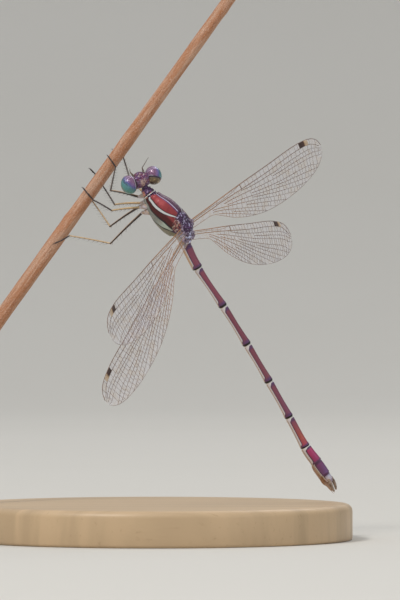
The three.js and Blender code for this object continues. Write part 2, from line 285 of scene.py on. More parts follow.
class Shade:
    """A material being made of nodes."""

    def __init__(self, name):
        self.material = bpy.data.materials.new(name)
        self.material.use_nodes = True
        self.tree = self.material.node_tree
        self.tree.nodes.clear()

    def node(self, kind, settings=None, inputs=None, output=0):
        """One node of a type, with its settings set first, then its sockets' values or links."""
        made = self.tree.nodes.new(kind)
        for name, value in (settings or {}).items():
            if name == "stops":
                ramp = made.color_ramp.elements
                while len(ramp) < len(value):
                    ramp.new(0.5)
                for stop, (position, colour) in zip(ramp, value):
                    stop.position = position
                    stop.color = (*colour[:3], 1)
            else:
                setattr(made, name, value)
        for name, value in (inputs or {}).items():
            if isinstance(value, Value):
                self.tree.links.new(value.socket, made.inputs[name])
            elif made.inputs[name].type == "RGBA":
                made.inputs[name].default_value = (*value[:3], 1)
            else:
                made.inputs[name].default_value = value
        return Value(self, made.outputs[output]) if made.outputs else None

    def skin(self):
        """How far along the piece, how far round from 0 to 1, and degrees from its back's middle."""
        place = self.node("ShaderNodeUVMap", {"uv_map": "skin"})
        along = self.node("ShaderNodeSeparateXYZ", None, {0: place}, 0)
        around = self.node("ShaderNodeSeparateXYZ", None, {0: place}, 1)
        return along, around, 180 - abs(around - 0.5) * 360

    def where(self):
        """The point in millimetres."""
        spot = self.node("ShaderNodeTexCoord", None, None, "Object")
        return self.node("ShaderNodeVectorMath", {"operation": "SCALE"}, {0: spot, "Scale": 1000.0})

    def in_head(self, spot):
        """How far ahead, above and to either side of the head's middle a point is."""
        middle = tuple(THORAX + HEAD)
        local = self.node("ShaderNodeVectorMath", {"operation": "SUBTRACT"}, {0: spot, 1: middle})
        kind = {"operation": "DOT_PRODUCT"}
        ahead, above, across = (
            self.node("ShaderNodeVectorMath", kind, {0: local, 1: tuple(way)}, 1)
            for way in (FACE, CROWN, HEAD_RIGHT)
        )
        return ahead, above, abs(across)

    def stretched(self, spot, scale, turn=(0, 0, 0)):
        """The point with its pattern drawn out by scale along turned axes."""
        inputs = {0: spot, "Rotation": turn, "Scale": scale}
        return self.node("ShaderNodeMapping", {"vector_type": "TEXTURE"}, inputs)

    def noise(self, spot, scale, detail=3.0, roughness=0.55):
        inputs = {"Vector": spot, "Scale": scale, "Detail": detail, "Roughness": roughness}
        return self.node("ShaderNodeTexNoise", None, inputs)

    def cells(self, spot, scale):
        return self.node("ShaderNodeTexVoronoi", None, {"Vector": spot, "Scale": scale})

    def rise(self, value, low, high, start=0.0, end=1.0):
        """From start to end as the value goes smoothly from low to high."""
        inputs = {"Value": value, "From Min": low, "From Max": high, "To Min": start, "To Max": end}
        return self.node("ShaderNodeMapRange", {"interpolation_type": "SMOOTHSTEP"}, inputs)

    def band(self, value, half, soft):
        """1 where the value is within half of nought, fading over soft."""
        return self.rise(abs(value), half, half + soft, 1.0, 0.0)

    def mix(self, base, top, share):
        return self.node("ShaderNodeMix", {"data_type": "RGBA"}, {0: share, 6: base, 7: top}, 2)

    def paint(self, colour, *coats):
        """A colour with others laid over it in turn, each with its share."""
        for top, share in coats:
            colour = self.mix(colour, top, share)
        return colour

    def ramp(self, value, stops):
        return self.node("ShaderNodeValToRGB", {"stops": stops}, {0: value})

    def bump(self, height, depth):
        """A normal from a height of 0 to 1 and its depth in millimetres."""
        inputs = {"Strength": 1.0, "Distance": depth * MM, "Height": height}
        return self.node("ShaderNodeBump", None, inputs)

    def surface(self, **sockets):
        """Ends the material with one shader. Sockets are named with _ for a space."""
        inputs = {name.replace("_", " "): value for name, value in sockets.items()}
        shader = self.node("ShaderNodeBsdfPrincipled", None, inputs)
        self.node("ShaderNodeOutputMaterial", None, {"Surface": shader})
        return self.material


# Sections of the thorax: how far tailward, height of the middle, half-width and half-height.
CHEST = [
    (-3.0, -0.8, 0.55, 0.64),
    (-2.6, -0.8, 0.9, 1.0),
    (-2.2, -0.66, 1.04, 1.17),
    (-1.75, -0.54, 1.22, 1.37),
    (-1.3, -0.4, 1.35, 1.52),
    (-0.8, -0.22, 1.46, 1.64),
    (-0.1, 0.0, 1.54, 1.74),
    (0.8, 0.32, 1.54, 1.74),
    (1.4, 0.58, 1.46, 1.65),
    (2.0, 0.76, 1.32, 1.5),
    (2.6, 0.72, 1.0, 1.14),
    (3.2, 0.58, 0.68, 0.76),
]
COLLAR = [
    (Vector((-2.62, -0.1, 3.55)), 0.3, 0.3),
    (Vector((-2.52, 0.04, 3.12)), 0.4, 0.36),
    (Vector((-2.4, 0.08, 2.88)), 0.6, 0.5),
    (Vector((-2.18, 0.05, 2.58)), 0.68, 0.6),
    (Vector((-1.92, 0.02, 2.24)), 0.76, 0.7),
]
HEAD_LUMPS = [
    ((0, 0, -0.02), (1.7, 0.64, 0.8)),
    ((0, -0.12, -0.3), (1.3, 0.52, 0.62)),
    ((0, 0.55, -0.12), (0.8, 0.6, 0.66)),
    ((0, 0.85, -0.5), (0.62, 0.5, 0.45)),
]
EYE_OFFSET = 1.5
EYE_HALF = (0.92, 1.04, 1.08)

# Joints of the abdomen from its root to its tip, and each segment's half-width and half-height
# at its front, middle and rear.
JOINTS = [
    (1.66, 0.55, -2.5),
    (2.11, 0.78, -3.49),
    (3.37, 1.3, -5.91),
    (6.23, 2.27, -10.17),
    (8.9, 3.23, -14.45),
    (11.36, 4.14, -18.6),
    (13.62, 5.0, -22.58),
    (15.42, 5.71, -25.88),
    (16.67, 6.1, -27.61),
    (17.65, 6.41, -28.93),
    (18.16, 6.57, -29.61),
]
SEGMENTS = [
    ((0.62, 0.62), (0.62, 0.64), (0.6, 0.6)),
    ((0.58, 0.62), (0.54, 0.58), (0.54, 0.58)),
    ((0.46, 0.5), (0.38, 0.41), (0.46, 0.5)),
    ((0.42, 0.46), (0.37, 0.4), (0.46, 0.5)),
    ((0.42, 0.46), (0.38, 0.41), (0.46, 0.5)),
    ((0.42, 0.46), (0.38, 0.42), (0.46, 0.5)),
    ((0.44, 0.48), (0.44, 0.48), (0.52, 0.56)),
    ((0.54, 0.6), (0.58, 0.66), (0.58, 0.68)),
    ((0.56, 0.66), (0.56, 0.64), (0.52, 0.58)),
    ((0.48, 0.5), (0.44, 0.46), (0.38, 0.4)),
]

# Wings: root, the way each spans, the way its leading edge faces, and its length.
WINGS = {
    "forewing_right": ((2.56, -0.07, -0.85), (0.626, 0.633, 0.455), (-0.242, -0.398, 0.885), 23),
    "hindwing_right": ((2.73, 0.47, -2.02), (0.501, 0.863, 0.071), (-0.23, 0.054, 0.972), 21.8),
    "forewing_left": ((1.76, -1.33, -1.64), (-0.373, -0.82, -0.434), (-0.417, -0.269, 0.868), 23),
    "hindwing_left": ((1.95, -0.8, -2.62), (-0.438, -0.459, -0.773), (-0.572, -0.521, 0.634), 21.8),
}
LEADING = [(-0.04, 0.01), (0, 0.012), (0.15, 0.014), (0.385, 0.018), (0.6, 0.017), (0.8, 0.018),
           (0.9, 0.008), (0.955, -0.01), (0.985, -0.036), (1, -0.066)]
TRAILING = [(-0.04, -0.028), (0, -0.03), (0.08, -0.031), (0.165, -0.038), (0.22, -0.07), (0.3, -0.119),
            (0.4, -0.162), (0.5, -0.19), (0.6, -0.204), (0.7, -0.206), (0.8, -0.199), (0.9, -0.178),
            (0.955, -0.153), (0.985, -0.127), (1, -0.1)]
NODUS = 0.385
STIGMA = (0.848, 0.915)

# Long veins from the leading edge back: points on each, as shares of the wing's length and breadth.
VEINS = {
    "costa": [(-0.04, 0.0), (1, 0.0)],
    "subcosta": [(-0.04, 0.2), (0.165, 0.14), (0.3, 0.085), (0.385, 0.0)],
    "radius": [(-0.04, 0.4), (0.165, 0.36), (0.22, 0.22), (0.3, 0.165), (0.385, 0.15), (0.6, 0.135),
               (0.8, 0.135), (0.93, 0.17), (0.985, 0.3)],
    "first_ray": [(0.385, 0.19), (0.46, 0.22), (0.6, 0.235), (0.8, 0.26), (0.93, 0.31), (0.995, 0.45)],
    "first_between": [(0.62, 0.3), (0.7, 0.325), (0.8, 0.35), (0.93, 0.43), (0.995, 0.6)],
    "second_ray": [(0.25, 0.34), (0.3, 0.3), (0.385, 0.3), (0.5, 0.33), (0.6, 0.365), (0.8, 0.44),
                   (0.93, 0.56), (0.99, 0.8)],
    "second_between": [(0.45, 0.39), (0.6, 0.47), (0.7, 0.53), (0.8, 0.59), (0.9, 0.72), (0.965, 1.0)],
    "second_after": [(0.62, 0.53), (0.7, 0.61), (0.8, 0.7), (0.9, 0.86), (0.945, 1.0)],
    "third_ray": [(0.27, 0.42), (0.385, 0.43), (0.5, 0.495), (0.6, 0.58), (0.7, 0.69), (0.8, 0.82),
                  (0.9, 1.0)],
    "third_between": [(0.45, 0.51), (0.5, 0.56), (0.6, 0.67), (0.7, 0.79), (0.8, 0.93), (0.845, 1.0)],
    "middle": [(0.165, 0.55), (0.22, 0.5), (0.3, 0.5), (0.4, 0.56), (0.5, 0.64), (0.6, 0.76), (0.7, 0.9),
               (0.76, 1.0)],
    "middle_between": [(0.4, 0.64), (0.5, 0.74), (0.6, 0.87), (0.68, 1.0)],
    "rear": [(0.165, 0.75), (0.22, 0.66), (0.3, 0.66), (0.4, 0.74), (0.5, 0.84), (0.6, 1.0)],
    "rear_between": [(0.3, 0.76), (0.4, 0.84), (0.5, 0.95), (0.53, 1.0)],
    "inner_rear": [(0.2, 0.9), (0.25, 0.84), (0.33, 0.87), (0.4, 0.94), (0.45, 1.0)],
    "hind_edge": [(-0.04, 1.0), (1, 1.0)],
}
VEIN_THICKNESS = {"costa": 2.4, "radius": 1.9, "hind_edge": 1.0}
# Pairs of veins with cross veins between them, the gap between those, and the span they cover.
CROSSINGS = [
    ("costa", "radius", 0.032, (0.41, 0.97)),
    ("costa", "subcosta", 0.075, (0.2, 0.33)),
    ("subcosta", "radius", 0.075, (0.2, 0.36)),
    ("radius", "first_ray", 0.03, (0.42, 0.97)),
    ("radius", "second_ray", 0.05, (0.27, 0.38)),
    ("first_ray", "second_ray", 0.034, (0.42, 0.62)),
    ("first_ray", "first_between", 0.024, (0.64, 0.98)),
    ("first_between", "second_ray", 0.024, (0.64, 0.97)),
    ("second_ray", "third_ray", 0.04, (0.3, 0.45)),
    ("second_ray", "second_between", 0.024, (0.47, 0.95)),
    ("second_between", "third_ray", 0.026, (0.47, 0.62)),
    ("second_between", "second_after", 0.022, (0.64, 0.94)),
    ("second_after", "third_ray", 0.022, (0.64, 0.89)),
    ("second_after", "hind_edge", 0.018, (0.905, 0.935)),
    ("third_ray", "middle", 0.032, (0.3, 0.45)),
    ("third_ray", "third_between", 0.024, (0.47, 0.84)),
    ("third_between", "middle", 0.024, (0.47, 0.75)),
    ("third_between", "hind_edge", 0.018, (0.765, 0.83)),
    ("middle", "rear", 0.032, (0.24, 0.4)),
    ("middle", "middle_between", 0.024, (0.42, 0.67)),
    ("middle_between", "rear", 0.024, (0.42, 0.59)),
    ("middle_between", "hind_edge", 0.018, (0.605, 0.67)),
    ("rear", "inner_rear", 0.03, (0.22, 0.3)),
    ("rear", "rear_between", 0.024, (0.31, 0.52)),
    ("rear_between", "inner_rear", 0.024, (0.31, 0.44)),
    ("rear_between", "hind_edge", 0.018, (0.455, 0.52)),
    ("inner_rear", "hind_edge", 0.024, (0.24, 0.43)),
]

# Where each of a leg's finishes is in its list.
HIP, DARK, PALE, HORN, BLACK = range(5)

# Legs: where each leaves the body, then hip, knee, ankle, the middle of the foot and its tip.
LEGS = {
    "fore_left": ((-2.28, 0.1, 2.33), (-3.17, 0.3, 2.06), (-6.36, 1.5, 2.81), (-5.83, 3.3, 5.47),
                  (-6.24, 3.35, 6.09), (-6.73, 3.5, 6.76)),
    "fore_right": ((-2.1, 1.0, 2.6), (-2.78, 1.9, 2.7), (-4.16, 3.6, 3.86), (-5.02, 5.2, 6.69),
                   (-5.64, 5.65, 7.15), (-6.2, 5.65, 7.49)),
    "middle_left": ((-2.1, 0.0, 1.1), (-3.0, 0.3, 0.89), (-6.25, 1.5, 0.58), (-8.35, 3.35, 1.79),
                    (-8.9, 3.35, 2.45), (-9.52, 3.65, 3.19)),
    "middle_right": ((-2.2, 1.2, 1.55), (-2.95, 2.1, 1.42), (-5.95, 3.6, 1.29), (-7.55, 5.7, 3.79),
                     (-8.16, 5.65, 4.74), (-8.77, 5.2, 5.35)),
    "hind_left": ((-1.9, 0.2, 0.44), (-2.85, 0.8, 0.3), (-6.36, 1.8, -3.09), (-10.98, 3.6, -2.21),
                  (-11.86, 3.3, -2.74), (-12.76, 3.45, -3.13)),
    "hind_right": ((-2.0, 1.3, 0.9), (-3.08, 2.6, 1.08), (-6.46, 4.0, -1.17), (-8.44, 5.7, 1.66),
                   (-8.97, 5.72, 2.44), (-9.4, 5.6, 3.0)),
}


def tint(name, description, default):
    """A colour setting."""
    return FloatVectorProperty(
        name=name, description=description, subtype="COLOR", default=default, min=0, max=1
    )


class DamselflyLook(bpy.types.PropertyGroup):
    """Sizes and colours of the insect."""

    copper: tint("Copper", "Colour of the shiny red-brown parts of the shell", (0.27, 0.04, 0.045))
    purple: tint("Purple", "Colour of the shiny purple parts of the shell", (0.1, 0.04, 0.13))
    lilac: tint("Lilac", "Colour of the pale stripes and lines", (0.66, 0.56, 0.68))
    cream: tint("Cream", "Colour of the pale underside", (0.6, 0.55, 0.43))
    tan: tint("Tan", "Colour of the mouth and the abdomen's lower sides", (0.5, 0.3, 0.14))
    black: tint("Black", "Colour of the dark rings and edges", (0.012, 0.01, 0.012))
    eye_top: tint("Eye, upper", "Colour of the upper part of the eyes", (0.2, 0.11, 0.3))
    eye_low: tint("Eye, lower", "Colour of the lower part of the eyes", (0.07, 0.3, 0.29))
    vein: tint("Vein", "Colour of the wing veins", (0.34, 0.16, 0.065))
    membrane: FloatProperty(
        name="Membrane cover",
        description="How much the clear membrane of the wings hides what is behind it",
        subtype="FACTOR",
        default=0.15,
        min=0,
        max=1,
    )
    vein_radius: FloatProperty(
        name="Vein radius",
        description="Radius of a cross vein, in millimetres; the long veins are thicker",
        default=0.021,
        min=0.01,
        max=0.1,
    )
    bristles: IntProperty(
        name="Bristles",
        description="Bristles in each row on a shin",
        default=9,
        min=2,
        max=20,
    )


class PerchLook(bpy.types.PropertyGroup):
    """Sizes and colours of the stem and the stand."""

    straw: tint("Straw", "Main colour of the dry stem", (0.44, 0.18, 0.075))
    wood: tint("Wood", "Main colour of the base", (0.56, 0.4, 0.24))
    base_radius: FloatProperty(
        name="Base radius",
        description="Radius of the round base",
        unit="LENGTH",
        default=0.022,
        min=0.015,
        max=0.03,
    )
    base_height: FloatProperty(
        name="Base height",
        description="Height of the round base",
        unit="LENGTH",
        default=0.004,
        min=0.002,
        max=0.01,
    )


def chest_finish(look):
    """Along is millimetres tailward of the thorax's middle; turn is degrees from its back's keel."""
    shade = Shade("chest_shell")
    along, around, turn = shade.skin()
    spot = shade.where()
    mottle = shade.noise(spot, 1.6)
    fine = shade.noise(spot, 22.0)
    grit = shade.noise(spot, 5.0, 5.0, 0.7)
    # Painted glints: pale lilac and cream spots of light on the rear hub.
    glints = shade.rise(shade.noise(spot, 4.2, 2.0), 0.54, 0.66)
    # Degrees past the upper seam and the lower one, then the distance from the pale stripe's middle.
    seam = turn - 73 + along.math("MAXIMUM", -1.5).math("MINIMUM", 0.3) * 9
    low = turn - 105.5 + along * 15.8
    stripe = abs((turn - 39.4 + along * (along * 3.8 + 16.1)) / (5.2 - along * 1.7))
    maroon = tuple(c * 0.28 for c in look.copper)
    front = shade.rise(along, 1.0, 0.7)
    pale = shade.rise(seam, -1, 1)
    belly = shade.paint(
        (0.2, 0.21, 0.19),
        ((0.42, 0.5, 0.43), shade.rise(along, -0.7, 0.9)),
        ((0.2, 0.19, 0.13), shade.rise(low, -2, 3)),
        ((0.3, 0.27, 0.24), shade.rise(mottle, 0.45, 0.7) * 0.5),
    )
    rear = shade.rise(along - turn * 0.012 + grit * 0.6, 0.75, 1.05) * shade.rise(low, 6, -2)
    warm = shade.rise(turn, 24, 36) * shade.rise(turn, 78, 66) * shade.rise(along, 2.1, 1.6)
    # Painted glints: bright blue-white spots of light on the rear of the hub.
    bright_glints = shade.rise(along, 2.2, 2.6) * shade.rise(shade.noise(spot, 2.6, 1.0), 0.5, 0.58)
    hub = shade.paint(
        look.purple,
        (look.black, shade.rise(grit, 0.42, 0.52) * 0.75),
        ((0.4, 0.14, 0.1), warm * shade.rise(grit, 0.6, 0.45) * 0.7),
        (shade.mix((0.5, 0.46, 0.68), (0.62, 0.5, 0.4), warm), glints * 0.85),
        ((0.62, 0.66, 0.95), bright_glints * shade.rise(turn, 80, 60)),
    )
    colour = shade.paint(
        look.copper,
        (maroon, shade.rise(turn, 40, 52)),
        (maroon, shade.rise(mottle, 0.5, 0.7) * 0.35),
        (look.purple, shade.rise(turn + grit * 4, 11, 6)),
        # Painted shade: one side of the back, from the keel down, darkened to near-black purple.
        ((0.05, 0.02, 0.06), shade.rise(around, 0.7, 0.9) * 0.85),
        (look.black, shade.band(stripe, 1.0, 0.25) * front),
        ((0.6, 0.62, 0.64), shade.band(stripe, 0.6, 0.2) * front),
        (look.lilac, shade.band(turn, 1.2, 1.0) * shade.rise(along, 0.7, 0.3)),
        (belly, pale),
        (look.black, shade.band(seam, 2.2, 2.5)),
        (look.black, shade.band(low, 1.8, 2.0) * 0.95 * shade.rise(along, -1.3, -0.8)),
        (hub, rear),
    )
    edges = shade.rise(abs(seam), 0, 3) + shade.rise(stripe, 0.6, 1.0) * 0.6
    return shade.surface(
        Base_Color=colour,
        Metallic=0.5 * (1 - pale),
        Roughness=0.4 + fine * 0.14 + pale * 0.1,
        Coat_Weight=0.16,
        Coat_Roughness=0.16,
        Normal=shade.bump(fine * 0.5 + edges + grit * rear * 2, 0.03),
    )


def collar_finish(look):
    shade = Shade("collar_shell")
    along, _, turn = shade.skin()
    spot = shade.where()
    fine = shade.noise(spot, 20.0)
    grit = shade.noise(spot, 5.0, 5.0, 0.7)
    colour = shade.paint(
        look.purple,
        (look.black, shade.rise(grit, 0.46, 0.58) * 0.8),
        # Painted glints: pale lilac specks of light on the purple.
        ((0.4, 0.34, 0.5), shade.rise(grit, 0.42, 0.34) * 0.7),
        ((0.5, 0.2, 0.13), shade.rise(turn, 62, 76) * shade.rise(along, 0.45, 0.6) * 0.8),
        (look.cream, shade.rise(turn, 112, 125)),
        (look.black, shade.band(along - 0.9, 0.03, 0.015)),
        ((0.75, 0.72, 0.7), shade.band(along - 0.955, 0.018, 0.012) * shade.rise(turn, 125, 105)),
    )
    return shade.surface(
        Base_Color=colour,
        Metallic=0.5 * shade.rise(turn, 70, 60),
        Roughness=0.3 + fine * 0.12,
        Coat_Weight=0.3,
        Coat_Roughness=0.12,
        Normal=shade.bump(fine * 0.4 + grit, 0.03),
    )


def head_finish(look):
    shade = Shade("head_shell")
    spot = shade.where()
    ahead, above, across = shade.in_head(spot)
    mottle = shade.noise(spot, 3.0)
    fine = shade.noise(spot, 24.0)
    grit = shade.noise(spot, 6.5, 5.0, 0.7)
    back = shade.rise(ahead + mottle * 0.7, 0.0, -0.2) * shade.rise(across + mottle * 0.5, 0.75, 0.4)
    spots = shade.rise(shade.noise(spot, 4.0, 3.0, 0.6), 0.47, 0.53)
    lip = shade.rise(ahead, 0.6, 0.8)
    colour = shade.paint(
        look.purple,
        (look.copper, shade.rise(mottle, 0.42, 0.62) * 0.5),
        # Painted glints: pale lilac specks of light on the purple.
        ((0.46, 0.38, 0.54), shade.rise(grit, 0.54, 0.64) * 0.75),
        (look.black, shade.rise(grit, 0.46, 0.38) * 0.85),
        (shade.mix((0.14, 0.07, 0.12), (0.6, 0.42, 0.35), spots), back * 0.8),
        (look.cream, shade.rise(above, -0.5, -0.75) * 0.8),
        (look.lilac, shade.band(above + 0.42, 0.06, 0.05) * lip * 0.7),
        (look.black, shade.band(above + 0.3, 0.03, 0.04) * lip),
    )
    return shade.surface(
        Base_Color=colour,
        Metallic=0.45 * shade.rise(ahead, -0.5, -0.3),
        Roughness=0.36 + fine * 0.15,
        Coat_Weight=0.25,
        Coat_Roughness=0.18,
        Normal=shade.bump(fine * 0.4 + grit, 0.03),
    )


def eye_finish(look, side):
    """Purple above and turquoise below; what shows of the rear differs from eye to eye in the photo."""
    shade = Shade(f"eye_facets_{side}")
    spot = shade.where()
    ahead, above, across = shade.in_head(spot)
    outward = across - EYE_OFFSET
    facets = shade.cells(spot, 26.0)
    drift = shade.noise(spot, 2.4)
    height = (above - outward * 0.8) * 0.5 + 0.5 + (drift - 0.5) * 0.25
    colour = shade.ramp(
        height,
        [
            (0.0, (0.06, 0.2, 0.17)),
            (0.35, look.eye_low),
            (0.6, (0.1, 0.26, 0.33)),
            (0.76, (0.1, 0.11, 0.34)),
            (0.88, look.eye_top),
            (1.0, (0.22, 0.1, 0.2)),
        ],
    )
    sweep = ahead + outward * 0.2
    arcs = shade.band(sweep - 0.3, 0.04, 0.03) + shade.band(sweep - 0.04, 0.03, 0.03)
    edge = shade.band(height - 0.62, 0.015, 0.03) * shade.rise(ahead, -0.7, -0.4)
    colour = shade.paint(
        colour,
        ((0.5, 0.42, 0.6), arcs * shade.rise(height, 0.68, 0.8) * 0.7),
        ((0.03, 0.03, 0.05), edge * 0.6),
    )
    if side == "right":
        rim = ahead + outward * 0.64 + above * 0.51 + 0.49
        olive = shade.mix((0.42, 0.31, 0.15), (0.17, 0.12, 0.06), shade.rise(drift + rim * 0.6, 0.12, 0.3))
        rear = shade.mix((0.14, 0.1, 0.06), olive, shade.rise(rim, -0.75, -0.45))
        dark = shade.band(rim + 0.03, 0.09, 0.05)
        line = shade.band(rim - 0.12, 0.02, 0.03) * shade.rise(outward, -0.25, -0.4)
    else:
        rim = outward + ahead * 0.15 + 0.52
        rear = shade.mix((0.06, 0.03, 0.05), (0.26, 0.16, 0.09), shade.rise(above, 0.2, -0.2))
        dark = 0.0
        line = shade.band(rim, 0.02, 0.03)
    colour = shade.paint(
        colour,
        (rear, shade.rise(rim, 0.0, -0.05)),
        ((0.03, 0.015, 0.04), dark),
        ((0.6, 0.6, 0.68), line * shade.rise(ahead, -0.1, -0.3) * 0.8),
        (look.black, shade.rise(facets, 0.35, 0.75) * 0.3),
    )
    return shade.surface(
        Base_Color=colour,
        Roughness=0.2,
        Metallic=0.2,
        Coat_Weight=0.5,
        Coat_Roughness=0.1,
        Normal=shade.bump(1 - facets, 0.012),
    )


def bead_finish():
    shade = Shade("simple_eye")
    glint = shade.noise(shade.where(), 6.0)
    colour = shade.mix((0.75, 0.66, 0.6), (0.5, 0.36, 0.3), glint)
    return shade.surface(Base_Color=colour, Roughness=0.12, Coat_Weight=1.0, Coat_Roughness=0.04)


def tail_finish(look):
    """Along runs from 0 to 10, one for each segment."""
    shade = Shade("tail_shell")
    along, _, turn = shade.skin()
    spot = shade.where()
    within = along.math("FRACT")
    mottle = shade.noise(spot, 1.3)
    fine = shade.noise(spot, 22.0)
    flare = shade.rise(within, 0.82, 0.92)
    tongue = shade.rise(within, 0.12, 0.0) * shade.rise(along, 1.6, 2.0)
    middle = shade.rise(along, 0.9, 1.1) * shade.rise(along, 8.1, 7.6)
    edge = 66 + flare * 38 * middle - tongue * 44 * middle + shade.rise(along, 7.6, 8.1) * 14
    past = turn - edge
    stops = [
        (0.0, (0.04, 0.035, 0.05)),
        (0.1, (0.05, 0.035, 0.05)),
        (0.11, (0.24, 0.06, 0.11)),
        (0.2, (0.25, 0.06, 0.1)),
        (0.35, (0.2, 0.05, 0.08)),
        (0.5, (0.22, 0.06, 0.09)),
        (0.6, (0.2, 0.06, 0.12)),
        (0.66, (0.4, 0.09, 0.07)),
        (0.715, (0.42, 0.04, 0.14)),
        (0.79, (0.3, 0.04, 0.14)),
        (0.82, (0.17, 0.05, 0.16)),
        (0.9, (0.16, 0.08, 0.22)),
        (0.93, (0.5, 0.5, 0.62)),
    ]
    violet = shade.mix((0.12, 0.045, 0.11), look.purple, shade.rise(mottle, 0.4, 0.6))
    core = shade.rise(within, 0.04, 0.22) * shade.rise(within, 0.95, 0.72) * shade.rise(past, -4, -26)
    side = shade.rise(past, -1.5, 1.5)
    flank = shade.paint(
        (0.62, 0.58, 0.62),
        (look.black, shade.band(turn - 97, 2.5, 2.5) * 0.8),
        (look.tan, shade.rise(turn, 100, 106) * 0.7),
        (look.tan, shade.rise(along, 2.0, 1.7) * shade.rise(turn, 70, 84) * 0.8),
    )
    rings = shade.rise(along, 0.95, 1.0) * shade.rise(along, 7.9, 7.8)
    ring = shade.rise(within, 0.988, 0.992) + shade.rise(within, 0.026, 0.018)
    colour = shade.paint(
        violet,
        (shade.ramp(along / 10, stops), shade.rise(core + mottle * 0.5, 0.3, 0.75)),
        (look.black, shade.band(past + 2, 2, 3) * 0.8),
        (flank, side),
        (look.black, shade.band(within - 0.962, 0.02, 0.008) * rings),
        ((0.72, 0.7, 0.68), ring * rings * shade.rise(along, 1.9, 1.95) * 0.85),
        (look.lilac, shade.rise(along, 9.2, 9.6) * 0.5),
    )
    return shade.surface(
        Base_Color=colour,
        Metallic=0.4 * (1 - side),
        Roughness=0.3 + fine * 0.14 + side * 0.14,
        Coat_Weight=0.3,
        Coat_Roughness=0.16,
        Normal=shade.bump(fine * 0.4 + mottle, 0.03),
    )


def limb_finish(name, dark, light, split):
    """A leg's shell: dark, with a painted highlight along its upper edge where split is below 180 degrees.
    """
    shade = Shade(name)
    _, _, turn = shade.skin()
    spot = shade.where()
    fine = shade.noise(spot, 18.0)
    # Painted highlight: the upper side takes the light colour, the rest the dark one.
    colour = shade.paint(
        light,
        (dark, shade.rise(turn + shade.noise(spot, 3.0) * 40, split, split + 30)),
        (dark, shade.rise(fine, 0.55, 0.7) * 0.4),
    )
    return shade.surface(
        Base_Color=colour,
        Roughness=0.38 + fine * 0.15,
        Coat_Weight=0.25,
        Coat_Roughness=0.2,
        Normal=shade.bump(fine, 0.012),
    )


def plain_finish(name, colour, other, scale, roughness, coat=0.0):
    """A shell or horn of one colour that drifts into another."""
    shade = Shade(name)
    spot = shade.where()
    fine = shade.noise(spot, scale * 6)
    drift = shade.mix(colour, other, shade.rise(shade.noise(spot, scale), 0.4, 0.65))
    return shade.surface(
        Base_Color=drift,
        Roughness=roughness + fine * 0.15,
        Coat_Weight=coat,
        Normal=shade.bump(fine, 0.01),
    )


def membrane_finish(look):
    shade = Shade("wing_membrane")
    spot = shade.where()
    ripple = shade.noise(spot, 1.4)
    warmth = shade.rise(ripple, 0.42, 0.65) * 0.7
    return shade.surface(
        # Painted sheen: the pale lilac-white colour stands for light shining off the clear membrane; warmth
        # gives its amber patches.
        Base_Color=shade.mix((0.8, 0.76, 0.86), (0.72, 0.56, 0.42), warmth),
        Alpha=look.membrane + shade.rise(ripple, 0.4, 0.7) * 0.08,
        Roughness=0.25,
        Coat_Weight=0.6,
        Coat_Roughness=0.1,
        Normal=shade.bump(ripple, 0.08),
    )


def vein_finish(look):
    """Along is the share of the wing's length: tan near the root and grey-brown further out."""
    shade = Shade("vein_horn")
    along, _, _ = shade.skin()
    fine = shade.noise(shade.where(), 3.0)
    colour = shade.paint(
        look.vein,
        ((0.2, 0.13, 0.1), shade.rise(along + fine * 0.15, 0.3, 0.6)),
        ((0.06, 0.035, 0.025), shade.rise(fine, 0.55, 0.7) * 0.5),
    )
    rough = 0.35 + fine * 0.1
    return shade.surface(Base_Color=colour, Roughness=rough, Coat_Weight=0.3, Coat_Roughness=0.2)


def stigma_finish():
    """The dark and cream cell near a wing's tip; along is the share of the wing's length."""
    shade = Shade("wing_stigma")
    along, _, _ = shade.skin()
    stops = [
        (0.0, (0.035, 0.012, 0.008)),
        (0.55, (0.06, 0.018, 0.01)),
        (0.68, (0.5, 0.34, 0.2)),
        (1.0, (0.62, 0.5, 0.38)),
    ]
    fine = shade.noise(shade.where(), 14.0)
    return shade.surface(
        Base_Color=shade.ramp(shade.rise(along, *STIGMA), stops),
        Roughness=0.4 + fine * 0.1,
        Coat_Weight=0.3,
        Normal=shade.bump(fine, 0.01),
    )


def stem_finish(perch):
    shade = Shade("dry_stem")
    spot = shade.where()
    way = (STEM_HIGH - STEM_LOW).normalized()
    lean = (0, math.atan2(way.x, way.z), 0)
    fibres = shade.noise(shade.stretched(spot, (0.07, 0.07, 2.0), lean), 1.0, 5.0, 0.7)
    patches = shade.noise(shade.stretched(spot, (0.5, 0.5, 5.0), lean), 1.0, 4.0)
    specks = shade.noise(shade.stretched(spot, (0.04, 0.04, 0.12), lean), 1.0, 3.0, 0.7)
    colour = shade.paint(
        perch.straw,
        ((0.55, 0.33, 0.22), shade.rise(patches, 0.42, 0.6) * 0.75),
        ((0.2, 0.08, 0.035), shade.rise(fibres, 0.5, 0.66) * 0.6),
        ((0.72, 0.55, 0.45), shade.rise(fibres, 0.42, 0.3) * 0.6),
        ((0.75, 0.62, 0.55), shade.rise(specks, 0.46, 0.38) * 0.55),
        ((0.06, 0.025, 0.015), shade.rise(specks, 0.56, 0.66) * 0.7),
    )
    return shade.surface(
        Base_Color=colour,
        Roughness=0.55 + fibres * 0.3,
        Normal=shade.bump(fibres + specks * 0.3, 0.06),
    )


def pith_finish():
    shade = Shade("stem_pith")
    spot = shade.where()
    holes = shade.cells(spot, 9.0)
    colour = shade.mix((0.35, 0.22, 0.12), (0.72, 0.62, 0.46), shade.rise(holes, 0.1, 0.45))
    return shade.surface(Base_Color=colour, Roughness=0.85, Normal=shade.bump(holes, 0.05))


